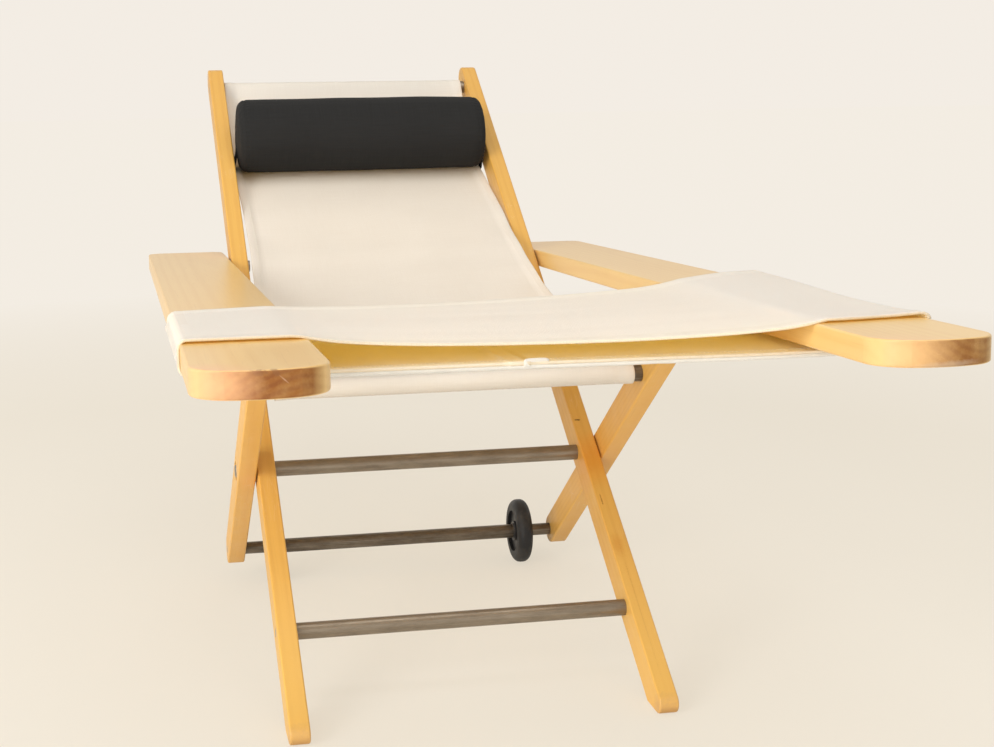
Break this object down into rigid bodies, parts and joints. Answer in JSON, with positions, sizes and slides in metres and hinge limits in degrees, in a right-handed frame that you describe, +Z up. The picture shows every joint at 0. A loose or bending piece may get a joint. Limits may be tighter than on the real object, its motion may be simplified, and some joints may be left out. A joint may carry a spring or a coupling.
{
  "type": "deck chaise lounge",
  "caption": "Folding wooden deck chaise with a canvas back, long arm boards carrying a canvas leg sling, a dark bolster and small wheels.",
  "frame": {"origin": "on the floor, under the middle of the chair's overall box", "axes": "+X to the right of a sitter seen from the front picture side, +Y from the foot end to the head end, +Z up"},
  "size_m": [0.76, 1.7177, 0.7828],
  "materials": {
    "timber": "oiled, satin",
    "dark_steel": "raw dark steel, satin",
    "steel_fittings": "satin",
    "tyre_rubber": "matte",
    "hub_plastic": "matte",
    "bush_nylon": "matte",
    "cream_canvas": "plain woven cotton",
    "white_tape": "smooth tape",
    "dark_fabric": "matte woven"
  },
  "bodies": {
    "back_frame": {"left_back_rail": "timber", "right_back_rail": "timber", "head_rod": "dark_steel", "lower_rod": "dark_steel", "pivot_rod": "dark_steel", "pivot_inner_washers": "steel_fittings", "pivot_outer_washers": "steel_fittings", "pivot_nuts": "steel_fittings", "rail_rod_screws": "steel_fittings", "back_sling": "cream_canvas"},
    "leg_frame": {"left_seat_leg": "timber", "right_seat_leg": "timber", "seat_rod": "dark_steel", "axle": "dark_steel", "axle_spacer_tube": "dark_steel", "wheel_clips": "steel_fittings", "leg_rod_screws": "steel_fittings"},
    "left_wheel": {"left_tyre": "tyre_rubber", "left_hub": "hub_plastic", "left_wheel_bush": "bush_nylon"},
    "right_wheel": {"right_tyre": "tyre_rubber", "right_hub": "hub_plastic", "right_wheel_bush": "bush_nylon"},
    "arm_boards": {"left_armrest": "timber", "right_armrest": "timber", "left_arm_rack": "timber", "right_arm_rack": "timber", "rack_screws": "steel_fittings", "arm_inserts": "steel_fittings", "arm_pivot_bolts": "steel_fittings", "arm_washers": "steel_fittings"},
    "leg_sling_band": {"leg_sling": "cream_canvas", "leg_sling_hem": "cream_canvas", "care_tab": "white_tape"},
    "headrest": {"bolster": "dark_fabric", "bolster_strap": "dark_fabric"}
  },
  "joints": [
    {"name": "frame_fold", "type": "hinge", "parent": "back_frame", "child": "leg_frame", "pos_m": [0, 0.03497, 0.246], "axis": [-1, 0, 0], "range_deg": [0, 97], "deforming": ["back_sling"]},
    {"name": "arms_swing", "type": "hinge", "parent": "back_frame", "child": "arm_boards", "pos_m": [0, 0.40524, 0.48371], "axis": [-1, 0, 0], "range_deg": [0, 144]},
    {"name": "left_wheel_spin", "type": "hinge", "parent": "leg_frame", "child": "left_wheel", "pos_m": [-0.2, 0.28363, 0.051], "axis": [-1, 0, 0], "continuous": true},
    {"name": "right_wheel_spin", "type": "hinge", "parent": "leg_frame", "child": "right_wheel", "pos_m": [0.2, 0.28363, 0.051], "axis": [-1, 0, 0], "continuous": true},
    {"name": "headrest_slide", "type": "slide", "parent": "back_frame", "child": "headrest", "axis": [0, -0.9445, -0.3284], "range_m": [-0.04, 0.15], "deforming": ["back_sling"]},
    {"name": "leg_sling_slide", "type": "slide", "parent": "arm_boards", "child": "leg_sling_band", "axis": [0, -0.998, 0.0628], "range_m": [0, 0.1]}
  ],
  "couplings": [
    {"joint": "arms_swing", "follows": "frame_fold", "ratio": 1.4814}
  ]
}
